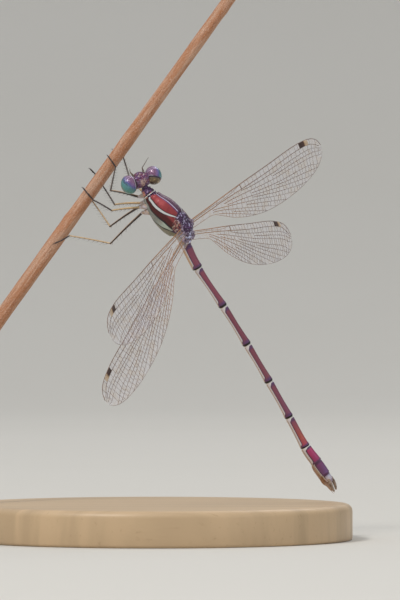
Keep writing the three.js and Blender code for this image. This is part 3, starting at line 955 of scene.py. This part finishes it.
def wood_finish(perch):
    shade = Shade("base_wood")
    spot = shade.where()
    rings = shade.noise(shade.stretched(spot, (90, 2.4, 30), (0.02, 0.01, 0.08)), 1.0, 3.0, 0.6)
    grain = shade.noise(shade.stretched(spot, (9, 0.2, 0.6), (0, 0, 0.08)), 1.0, 3.0, 0.6)
    colour = shade.paint(
        perch.wood,
        (tuple(c * 0.8 for c in perch.wood), shade.rise(rings, 0.4, 0.62) * 0.8),
        ((0.26, 0.15, 0.07), shade.rise(grain, 0.6, 0.78) * 0.3),
    )
    return shade.surface(
        Base_Color=colour,
        Roughness=0.42 + grain * 0.15,
        Coat_Weight=0.15,
        Coat_Roughness=0.3,
        Normal=shade.bump(grain, 0.02),
    )


def rod_finish():
    shade = Shade("rod_steel")
    lines = shade.noise(shade.stretched(shade.where(), (0.05, 0.05, 6)), 1.0, 3.0)
    return shade.surface(
        Base_Color=shade.mix((0.5, 0.5, 0.51), (0.66, 0.66, 0.66), lines),
        Metallic=1.0,
        Roughness=0.25 + lines * 0.15,
        Normal=shade.bump(lines, 0.01),
    )


def chest_form():
    form = Form()
    middle = [(a, c) for a, c, _, _ in CHEST]
    wide = [(a, w) for a, _, w, _ in CHEST]
    high = [(a, h) for a, _, _, h in CHEST]
    start, end = CHEST[0][0], CHEST[-1][0]

    def tail(t):
        return start + (end - start) * t

    def swell(t, angle):
        a = tail(t)
        turn = from_back(angle)
        plates = 0.09 * hump(a, 1.35, 0.3) + 0.08 * hump(a, 2.35, 0.28) - 0.07 * hump(a, 0.85, 0.16)
        plates -= 0.07 * hump(a, 1.86, 0.14)
        keel = 0.035 * hump(turn, 0, 6) * hump(a, -0.9, 1.6)
        seams = 0.035 * hump(turn, 88, 3) + 0.03 * hump(turn + a * 6, 121, 3)
        return 1 + keel - seams + plates * hump(turn, 0, 34)

    form.tube(
        lambda t: in_body(tail(t), 0, profile(middle, tail(t))),
        lambda t: (profile(wide, tail(t)), profile(high, tail(t))),
        DORSAL,
        sides=96,
        steps=72,
        along=(start, end),
        swell=swell,
        ends=5,
        roll=BACK_ROLL,
    )
    # Knobs of each wing's hinge: how far out along the wing and how far ahead of it, and their size.
    knobs = ((0.22, 0.14, 0.22), (0.2, -0.22, 0.2), (-0.1, 0.46, 0.2), (-0.15, -0.46, 0.2))
    for root, span, lead, _ in WINGS.values():
        along, lead = Vector(span).normalized(), Vector(lead)
        axes = (along, lead, along.cross(lead))
        for out, ahead, size in knobs:
            spot = Vector(root) + along * out + lead * ahead
            form.ball(spot, (size * 1.3, size, size * 0.8), axes, finish=1, around=20, up=12)
    return form


def collar_form():
    form = Form()
    wide = evenly([w for _, w, _ in COLLAR])
    high = evenly([h for _, _, h in COLLAR])

    def swell(t, angle):
        lobes = 0.1 * hump(t, 0.5, 0.1) - 0.09 * hump(t, 0.62, 0.05) + 0.1 * hump(t, 0.78, 0.1)
        return 1 + lobes - 0.08 * hump(t, 0.9, 0.03) + 0.12 * hump(t, 0.97, 0.04)

    path = through([at for at, _, _ in COLLAR])
    size = lambda t: (profile(wide, t), profile(high, t))
    form.tube(path, size, DORSAL, sides=48, steps=40, swell=swell, roll=BACK_ROLL)
    return form


class DAMSELFLY_OT_thorax(bpy.types.Operator):
    """Makes the thorax with its striped sides, and the collar in front of it"""

    bl_idname = "damselfly.thorax"
    bl_label = "Thorax"

    def execute(self, context):
        look = context.scene.damselfly
        hinge = plain_finish("hinge_shell", (0.34, 0.26, 0.36), (0.06, 0.03, 0.06), 4.0, 0.34, 0.3)
        place("pterothorax_shell", chest_form(), [chest_finish(look), hinge], "body", ["pterothorax"])
        place("prothorax_shell", collar_form(), [collar_finish(look)], "body", ["prothorax"])
        return {"FINISHED"}


def head_reach(way):
    """How far the head's surface is from its middle, as one smooth skin over its lumps."""
    sharpness = 16
    total = 0.0
    for (x, y, z), (a, b, c) in HEAD_LUMPS:
        scaled = Vector((way.x / a, way.y / b, way.z / c))
        offset = Vector((x / a, y / b, z / c))
        square = scaled.length_squared
        half = scaled.dot(offset)
        inside = half * half - square * (offset.length_squared - 1)
        if inside > 0:
            total += math.exp(sharpness * (half + math.sqrt(inside)) / square)
    return math.log(total) / sharpness


def mouth_form():
    form = Form()
    form.ball(in_head(0, 0.42, -0.98), (0.48, 0.5, 0.36), HEAD_AXES)
    for side in (-1, 1):
        spots = ((side * 0.42, 0.62, -0.72), (side * 0.36, 0.9, -0.95), (0, 1.0, -1.05))
        path = through([in_head(*spot) for spot in spots])
        form.tube(path, lambda t: (0.16 - 0.06 * t, 0.2 - 0.08 * t), CROWN)
    return form


def feeler_form(sign, tip):
    form = Form()
    root = in_head(sign * 0.6, 0.62, 0.28)
    knob = in_head(sign * 0.68, 0.95, 0.38)
    bend = in_head(sign * 0.75, 1.25, 0.42)
    form.ball(root, (0.17, 0.12, 0.17), HEAD_AXES, around=24, up=14)
    form.tube(through([root, knob]), taper(0.12, 0.02), CROWN)
    form.tube(through([knob, bend]), taper(0.085, 0.02), CROWN)
    form.tube(through([bend, in_head(*tip)]), taper(0.05, 0.03), CROWN, sides=8, ends=2)
    return form


class DAMSELFLY_OT_head(bpy.types.Operator):
    """Makes the head, its simple eyes, feelers and mouthparts"""

    bl_idname = "damselfly.head"
    bl_label = "Head"

    def execute(self, context):
        look = context.scene.damselfly
        skull = Form()
        skull.ball(HEAD, (1, 1, 1), HEAD_AXES, around=96, up=64, reach=head_reach)
        place("head_shell", skull, [head_finish(look)], "body", ["head"])
        beads = Form()
        for right, face in ((-0.3, 0.02), (0.3, 0.02), (0, 0.36)):
            way = Vector((right, face, 0.75)).normalized()
            spot = HEAD + (HEAD_RIGHT * way.x + FACE * way.y + CROWN * way.z) * head_reach(way)
            beads.ball(spot, (0.085, 0.085, 0.085), HEAD_AXES, around=20, up=12)
        place("simple_eyes", beads, [bead_finish()], "eyes")
        pale = plain_finish("mouth_shell", look.tan, look.cream, 3.0, 0.45, 0.2)
        place("mouthpart_lobes", mouth_form(), [pale], "pale_parts", ["mouthparts"])
        dark = plain_finish("feeler_shell", (0.05, 0.03, 0.025), (0.12, 0.07, 0.04), 4.0, 0.4, 0.2)
        for side, sign, tip in (("left", -1, (-0.5, 1.85, 0.3)), ("right", 1, (1.9, 2.0, 0.8))):
            place(f"feeler_{side}", feeler_form(sign, tip), [dark], "legs", [f"antenna_{side}"])
        return {"FINISHED"}


class DAMSELFLY_OT_eyes(bpy.types.Operator):
    """Makes the two big faceted eyes"""

    bl_idname = "damselfly.eyes"
    bl_label = "Eyes"

    def execute(self, context):
        for side, sign in (("left", -1), ("right", 1)):
            finish = eye_finish(context.scene.damselfly, side)
            form = Form()
            form.ball(in_head(sign * EYE_OFFSET, 0, 0), EYE_HALF, HEAD_AXES, around=80, up=56)
            place(f"eye_dome_{side}", form, [finish], "eyes", [f"eye_{side}"])
        return {"FINISHED"}


def abdomen_form(joints):
    """Ten segments under one skin, each with a raised ring near its end and a groove between them."""
    count = len(SEGMENTS)

    def halves(t, which):
        along = min(t * count, count - 0.001)
        segment = int(along)
        share = along - segment
        sizes = evenly([size[which] for size in SEGMENTS[segment]])
        groove = hump(share, 1.0, 0.018) + hump(share, 0.0, 0.018)
        ring = 1 + 0.06 * hump(share, 0.93, 0.04) - 0.12 * groove
        return profile(sizes, share) * (ring if segment else 1)

    def keel(t, angle):
        turn = from_back(angle)
        return 1 + 0.04 * hump(turn, 0, 14) - 0.06 * hump(turn, 104, 6) - 0.05 * hump(turn, 142, 8)

    form = Form()
    form.tube(
        through(joints),
        lambda t: (halves(t, 0), halves(t, 1)),
        DORSAL,
        sides=48,
        steps=40 * count,
        along=(0, count),
        swell=keel,
        ends=4,
        roll=BACK_ROLL,
    )
    return form


def clasper_form(tip, sign):
    form = Form()
    spots = ((-0.15, 0.26, 0.12), (0.4, 0.33, 0.12), (0.9, 0.33, 0.04), (1.3, 0.24, -0.04))
    path = through([tip + in_body(t, sign * r, d) for t, r, d in spots])
    size = lambda t: (0.2 - 0.08 * t**2, 0.21 - 0.1 * t**2)
    form.tube(path, size, DORSAL, sides=20, steps=16, ends=4)
    return form


def sheath_form(joints):
    """The egg-laying sheath: joint, how far tailward and above it, half-width and half-height."""
    form = Form()
    parts = ((8, 0.1, -0.55, 0.18, 0.16), (8, 0.6, -0.7, 0.22, 0.26), (9, 0.3, -0.74, 0.25, 0.32),
             (9, 0.9, -0.7, 0.24, 0.3), (10, 0.5, -0.58, 0.22, 0.26), (10, 1.1, -0.46, 0.16, 0.2))
    wide = evenly([part[3] for part in parts])
    high = evenly([part[4] for part in parts])
    path = through([joints[i] + TAILWARD * t + DORSAL * d for i, t, d, _, _ in parts])
    form.tube(path, lambda t: (profile(wide, t), profile(high, t)), DORSAL, sides=32, steps=30, ends=4)
    tip = joints[-1] + TAILWARD * 1.15 + DORSAL * -0.5
    for sign in (-1, 1):
        form.spike(tip + RIGHT * sign * 0.08, tip + in_body(0.5, sign * 0.12, 0.12), 0.05, sides=8)
    return form


class DAMSELFLY_OT_tail(bpy.types.Operator):
    """Makes the ten-segment abdomen, its two claspers and the egg-laying sheath"""

    bl_idname = "damselfly.tail"
    bl_label = "Abdomen"

    def execute(self, context):
        look = context.scene.damselfly
        joints = [Vector(p) for p in JOINTS]
        joints[0] = joints[0].lerp(joints[1], -0.5)
        segments = [f"abdomen_{i:02d}" for i in range(1, len(SEGMENTS) + 1)]
        place("abdomen_shell", abdomen_form(joints), [tail_finish(look)], "body", segments)
        horn = plain_finish("clasper_shell", (0.34, 0.25, 0.2), (0.14, 0.09, 0.06), 3.0, 0.4, 0.2)
        for side, sign in (("left", -1), ("right", 1)):
            place(f"clasper_{side}", clasper_form(joints[-1], sign), [horn], "body", [f"cercus_{side}"])
        soft = plain_finish("sheath_shell", (0.44, 0.3, 0.24), (0.26, 0.12, 0.05), 1.4, 0.42, 0.25)
        place("sheath_lobes", sheath_form(joints), [soft], "pale_parts", ["ovipositor"])
        return {"FINISHED"}


def reach_of(vein, share):
    """How far back a vein lies at a share of the span, or None where it doesn't run."""
    line = VEINS[vein]
    return profile(line, share) if line[0][0] <= share <= line[-1][0] else None


class Wing:
    """The shape of one wing, with points on it by shares of its span and of its breadth."""

    def __init__(self, root, span, lead, length):
        lead = Vector(lead)
        self.origin = Vector(root)
        self.length = length
        self.along = Vector(span).normalized()
        self.ahead = (lead - self.along * lead.dot(self.along)).normalized()
        self.across = self.along.cross(self.ahead)

    def point(self, share, chord, height=0.0):
        front = profile(LEADING, share) * self.length
        rear = profile(TRAILING, share) * self.length
        fade = min(max(share * 4, 0), 1)
        arch = 0.03 * (front - rear) * math.sin(math.pi * chord) * fade
        pleats = 0.05 * math.sin(chord * 5.5 * math.pi) * fade * (1 - chord)
        forward = front + (rear - front) * chord
        on_line = self.origin + self.along * share * self.length
        return on_line + self.ahead * forward + self.across * (arch + pleats + height)

    def section(self, share, chords, height):
        """A ring of points over the upper face and back under the lower one."""
        upper = [self.point(share, chord, height) for chord in chords]
        return upper + [self.point(share, chord, -height) for chord in reversed(chords)]

    def sheet(self):
        """The clear membrane."""
        form = Form()
        thickness = 0.02
        shares = [-0.04 + 1.04 * math.sin(math.pi / 2 * i / 90) for i in range(91)]
        chords = [j / 30 for j in range(31)]
        form.rings([self.section(share, chords, thickness / 2) for share in shares], shares)
        return form

    def net(self, radius):
        """The long veins, the cross veins between them and the stop half way along the front edge."""
        form = Form()
        for vein, line in VEINS.items():
            first, last = line[0][0], line[-1][0]
            thick = VEIN_THICKNESS.get(vein, 1.3)

            def spot(t):
                share = first + (last - first) * t
                return self.point(share, min(max(profile(line, share), 0), 1))

            size = lambda t: (radius * thick * (1.25 - 0.5 * t),) * 2
            form.tube(spot, size, self.across, sides=6, steps=70, along=(first, last), ends=1)
        for number, (front, rear, gap, (start, end)) in enumerate(CROSSINGS):
            count = round((end - start) / gap)
            for i in range(count + 1):
                share = start + (end - start) * (i + 0.35 * scatter(number * 37 + i)) / (count + 0.5)
                lean = share + 0.006 * (scatter(number * 91 + i * 7) - 0.3)
                near, far = reach_of(front, share), reach_of(rear, lean)
                if near is None or far is None or far <= near:
                    continue
                path = lambda t: self.point(share + (lean - share) * t, near + (far - near) * t)
                size = taper(radius * 0.8)
                form.tube(path, size, self.across, sides=5, steps=4, along=(share, lean), ends=0)
        path = lambda t: self.point(NODUS + 0.004 * t, 0.16 * t)
        form.tube(path, taper(radius * 2.2), self.across, sides=8, steps=4, along=(0.6, 0.6))
        return form

    def cell(self):
        """The coloured cell near the tip."""
        form = Form()
        steps = 16
        thickest = 0.1
        shares = [STIGMA[0] + (STIGMA[1] - STIGMA[0]) * i / steps for i in range(steps + 1)]
        rings = []
        for i, share in enumerate(shares):
            back = reach_of("radius", share)
            height = thickest / 2 * min(1, 4 * min(i, steps - i) / steps + 0.2)
            rings.append(self.section(share, [back * j / 6 for j in range(7)], height))
        form.rings(rings, shares)
        return form


class DAMSELFLY_OT_wings(bpy.types.Operator):
    """Makes four wings: a clear membrane, its veins and the two-coloured cell near the tip"""

    bl_idname = "damselfly.wings"
    bl_label = "Wings"

    def execute(self, context):
        look = context.scene.damselfly
        clear = membrane_finish(look)
        horn = vein_finish(look)
        dark = stigma_finish()
        for name, shape in WINGS.items():
            wing = Wing(*shape)
            place(f"{name}_membrane", wing.sheet(), [clear], "wings")
            place(f"{name}_veins", wing.net(look.vein_radius), [horn], "wings", [name])
            place(f"{name}_stigma", wing.cell(), [dark], "wings")
        return {"FINISHED"}


def add_bristles(form, first, last, count, size):
    """Four rows of bristles along a limb, which lean towards its far end."""
    line = (last - first).normalized()
    side = line.cross(UP).normalized()
    under = side.cross(line)
    for row, (a, b) in enumerate(((0.75, -0.65), (-0.75, -0.65), (0.9, 0.45), (-0.9, 0.45))):
        for i in range(count):
            share = (i + 0.5 + 0.3 * (scatter(row * 13 + i) - 0.5)) / count
            foot = first.lerp(last, share)
            out = (side * a + under * b).normalized()
            length = size * (0.75 + 0.5 * scatter(row * 31 + i * 5)) * (0.6 if row > 1 else 1)
            form.spike(foot, foot + (out + line * 0.75).normalized() * length, 0.014, HORN)


def leg_form(name, bristles):
    """A hip in two lumps, a thigh, a shin, a foot of two joints with two claws, and bristles."""
    root, hip, knee, ankle, foot, tip = (Vector(p) for p in LEGS[name])
    thigh = PALE if name in ("middle_left", "middle_right", "fore_right") else DARK
    shin = PALE if name.startswith("hind") else BLACK
    form = Form()
    form.tube(through([root, root.lerp(hip, 0.6)]), taper(0.42, 0.14), DORSAL, 24, 10, HIP)
    form.tube(through([root.lerp(hip, 0.66), hip]), taper(0.25, 0.08), DORSAL, 20, 8, HIP)
    path = through([hip, hip.lerp(knee, 0.5) + UP * 0.06, knee])
    form.tube(path, lambda t: (0.115 - 0.03 * t, 0.14 - 0.055 * t), UP, 20, 20, thigh, ends=4)
    form.ball(knee, (0.11, 0.11, 0.11), (TAILWARD, RIGHT, DORSAL), DARK, 16, 10)
    path = through([knee, knee.lerp(ankle, 0.5) + UP * 0.04, ankle])
    form.tube(path, taper(0.09, 0.02), UP, 16, 16, shin)
    end = foot.lerp(tip, 0.8)
    form.tube(through([ankle, foot]), taper(0.075, -0.02), UP, 14, 8, BLACK)
    form.tube(through([foot, end]), taper(0.065, -0.02), UP, 14, 8, BLACK)
    way = (tip - foot).normalized()
    aside = way.cross(UP).normalized()
    for sign in (-1, 1):
        bend = end + way * 0.22 + aside * sign * 0.1
        point = end + way * 0.34 + aside * sign * 0.2 - UP * 0.1
        form.tube(through([end, bend, point]), taper(0.036, 0.028), UP, 8, 8, HORN, ends=2)
    add_bristles(form, hip, knee, bristles - 2, 0.55)
    add_bristles(form, knee, ankle, bristles, 0.62)
    add_bristles(form, ankle, tip, 5, 0.2)
    return form


class DAMSELFLY_OT_legs(bpy.types.Operator):
    """Makes six legs that hold the stem, with bristles and claws"""

    bl_idname = "damselfly.legs"
    bl_label = "Legs"

    def execute(self, context):
        finishes = [
            plain_finish("hip_shell", (0.52, 0.47, 0.52), (0.42, 0.3, 0.22), 2.2, 0.42, 0.2),
            # Each limb finish: its dark colour, the colour of the painted highlight on its upper side, and
            # how far round from the top that highlight reaches.
            limb_finish("dark_limb", (0.03, 0.02, 0.018), (0.42, 0.22, 0.08), 62),
            limb_finish("pale_limb", (0.16, 0.1, 0.06), (0.55, 0.38, 0.2), 120),
            plain_finish("bristle_horn", (0.015, 0.01, 0.01), (0.05, 0.03, 0.02), 4.0, 0.35),
            limb_finish("black_limb", (0.025, 0.015, 0.015), (0.12, 0.07, 0.04), 20),
        ]
        bristles = context.scene.damselfly.bristles
        for name in LEGS:
            nodes = [f"leg_{name}_{part}" for part in ("coxa", "femur", "tibia", "tarsus")]
            place(f"leg_{name}_shell", leg_form(name, bristles), finishes, "legs", nodes)
        return {"FINISHED"}


class DAMSELFLY_OT_stem(bpy.types.Operator):
    """Makes the dry stem that the insect holds, with its fibres, knots and cut ends"""

    bl_idname = "damselfly.stem"
    bl_label = "Stem"

    def execute(self, context):
        low, high = STEM_RADII
        form = Form()
        # Each knot's share of the length, and its angle round the stem.
        knots = ((0.93, 1.1), (0.35, 4.0))

        def swell(t, angle):
            ridges = 0.012 * math.sin(angle * 17 + 2 * math.sin(t * 9)) + 0.01 * math.sin(angle * 29 + 5 * t)
            lumps = (hump(t, at, 0.012) * (0.6 + 0.4 * math.cos(angle - turn)) for at, turn in knots)
            wave = 0.02 * math.sin(t * 21 + 2) + 0.015 * math.sin(t * 47)
            return 1 + ridges + 0.09 * sum(lumps) + wave

        form.tube(
            through([STEM_LOW, STEM_HIGH]),
            taper(low, low - high),
            DORSAL,
            sides=120,
            steps=260,
            along=(0, 50),
            swell=swell,
            ends=0,
        )
        form.finishes[-2:] = [1, 1]
        upward = (STEM_HIGH - STEM_LOW).normalized()
        for end, line, radius in ((STEM_LOW, upward, low), (STEM_HIGH, -upward, high)):
            path = lambda t: end - line * (0.02 + 0.03 * t) + line * 0.05
            form.tube(path, taper(radius * 0.66), DORSAL, sides=32, steps=2, finish=1, ends=2)
        perch = context.scene.damselfly_perch
        place("stem_stalk", form, [stem_finish(perch), pith_finish()], "stem", ["perch_stem"])
        return {"FINISHED"}


class DAMSELFLY_OT_stand(bpy.types.Operator):
    """Makes the round wooden base and finishes the steel rod"""

    bl_idname = "damselfly.stand"
    bl_label = "Stand"

    def execute(self, context):
        perch = context.scene.damselfly_perch
        radius, height = perch.base_radius / MM, perch.base_height / MM
        edge = 0.8
        outline = [(radius - 0.35, 0.0), (radius - 0.1, 0.06), (radius, 0.35)]
        outline += [
            (radius - edge + edge * math.cos(a), height - edge + edge * math.sin(a))
            for a in (math.pi / 2 * i / 8 for i in range(9))
        ]
        outline += [(radius * share, height) for share in (0.9, 0.75, 0.5, 0.25, 0.02)]
        form = Form()
        rings = [[point - THORAX for point in circle(reach, level, 160)] for reach, level in outline]
        form.rings(rings, [i / len(outline) for i in range(len(outline))])
        place("stand_disc", form, [wood_finish(perch)], "base", ["stand_base"])
        finish = rod_finish()
        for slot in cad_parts["stand_rod"].material_slots:
            slot.material = finish
        return {"FINISHED"}


def studio_floor():
    """A pale floor that sweeps up into a wall all round."""
    flat = 0.7
    bend = 1.2
    count = 96
    outline = [(0.001, 0.0), (0.2, 0.0), (flat, 0.0)]
    outline += [
        (flat + bend * math.sin(a), bend - bend * math.cos(a))
        for a in (math.pi / 2 * i / 24 for i in range(1, 25))
    ]
    points = [point for reach, level in outline for point in circle(reach, level, count)]
    faces = [
        (i * count + j, i * count + (j + 1) % count, (i + 1) * count + (j + 1) % count, (i + 1) * count + j)
        for i in range(len(outline) - 1)
        for j in range(count)
    ]
    faces.append(tuple(range(count)))
    mesh = bpy.data.meshes.new("studio_floor")
    mesh.from_pydata(points, [], faces)
    mesh.polygons.foreach_set("use_smooth", [True] * len(faces))
    shade = Shade("pale_floor")
    drift = shade.noise(shade.where(), 0.004)
    tone = shade.mix((0.62, 0.6, 0.55), (0.66, 0.64, 0.6), drift)
    mesh.materials.append(shade.surface(Base_Color=tone, Roughness=0.8))
    return bpy.data.objects.new("studio_floor", mesh)


def lamp(name, spot, aim, size, power, colour):
    light = bpy.data.lights.new(name, "AREA")
    light.shape = "DISK"
    light.size = size
    light.energy = power
    light.color = colour
    holder = bpy.data.objects.new(name, light)
    holder.location = spot
    holder.rotation_euler = (aim - Vector(spot)).to_track_quat("-Z", "Y").to_euler()
    return holder


def photo_camera():
    """The camera that sees the model as the photo does."""
    camera = bpy.data.cameras.new("photo_view")
    camera.sensor_width = 36
    camera.sensor_height = 36
    camera.lens = 324
    camera.clip_start = 0.01
    camera.clip_end = 20
    holder = bpy.data.objects.new("photo_view", camera)
    holder.location = (0.005, -0.602, 0.0267)
    holder.rotation_euler = (math.pi / 2, 0, 0)
    return holder


class DAMSELFLY_OT_stage(bpy.types.Operator):
    """Makes the pale floor, the soft lights and the camera"""

    bl_idname = "damselfly.stage"
    bl_label = "Stage"

    def execute(self, context):
        scene = context.scene
        link = scene.collection.objects.link
        floor = studio_floor()
        link(floor)

        world = bpy.data.worlds.new("studio_air")
        world.use_nodes = True
        air = world.node_tree.nodes["Background"]
        air.inputs["Color"].default_value = (0.92, 0.95, 1.0, 1)
        air.inputs["Strength"].default_value = 0.65
        scene.world = world

        aim = Vector((0.002, 0, 0.03))
        link(lamp("key", (-0.45, -0.6, 0.85), aim, 0.3, 6.5, (1.0, 0.97, 0.92)))
        link(lamp("fill", (0.9, -0.7, 0.4), aim, 0.6, 1.2, (0.92, 0.96, 1.0)))
        link(lamp("rim", (0.3, 0.6, 0.7), aim, 0.4, 1.2, (1.0, 1.0, 1.0)))
        camera = photo_camera()
        link(camera)
        scene.camera = camera
        scene.view_settings.view_transform = "Standard"
        return {"FINISHED"}


class DAMSELFLY_PT_panel(bpy.types.Panel):
    """Lists the sizes, colours and steps of the damselfly"""

    bl_idname = "DAMSELFLY_PT_panel"
    bl_label = "Damselfly"
    bl_space_type = "VIEW_3D"
    bl_region_type = "UI"
    bl_category = "Damselfly"

    def draw(self, context):
        layout = self.layout
        for group in (context.scene.damselfly, context.scene.damselfly_perch):
            for name in group.__annotations__:
                layout.prop(group, name)
        for step in STEPS:
            layout.operator(step.bl_idname)


STEPS = (
    DAMSELFLY_OT_stem,
    DAMSELFLY_OT_thorax,
    DAMSELFLY_OT_head,
    DAMSELFLY_OT_eyes,
    DAMSELFLY_OT_tail,
    DAMSELFLY_OT_legs,
    DAMSELFLY_OT_wings,
    DAMSELFLY_OT_stand,
    DAMSELFLY_OT_stage,
)
CLASSES = (DamselflyLook, PerchLook, *STEPS, DAMSELFLY_PT_panel)


def register():
    for group in CLASSES:
        bpy.utils.register_class(group)
    bpy.types.Scene.damselfly = PointerProperty(type=DamselflyLook)
    bpy.types.Scene.damselfly_perch = PointerProperty(type=PerchLook)


def unregister():
    del bpy.types.Scene.damselfly_perch
    del bpy.types.Scene.damselfly
    for group in reversed(CLASSES):
        bpy.utils.unregister_class(group)


def main():
    register()
    bpy.ops.damselfly.stem()
    bpy.ops.damselfly.thorax()
    bpy.ops.damselfly.head()
    bpy.ops.damselfly.eyes()
    bpy.ops.damselfly.tail()
    bpy.ops.damselfly.legs()
    bpy.ops.damselfly.wings()
    bpy.ops.damselfly.stand()
    bpy.ops.damselfly.stage()


if __name__ == "__main__":
    main()
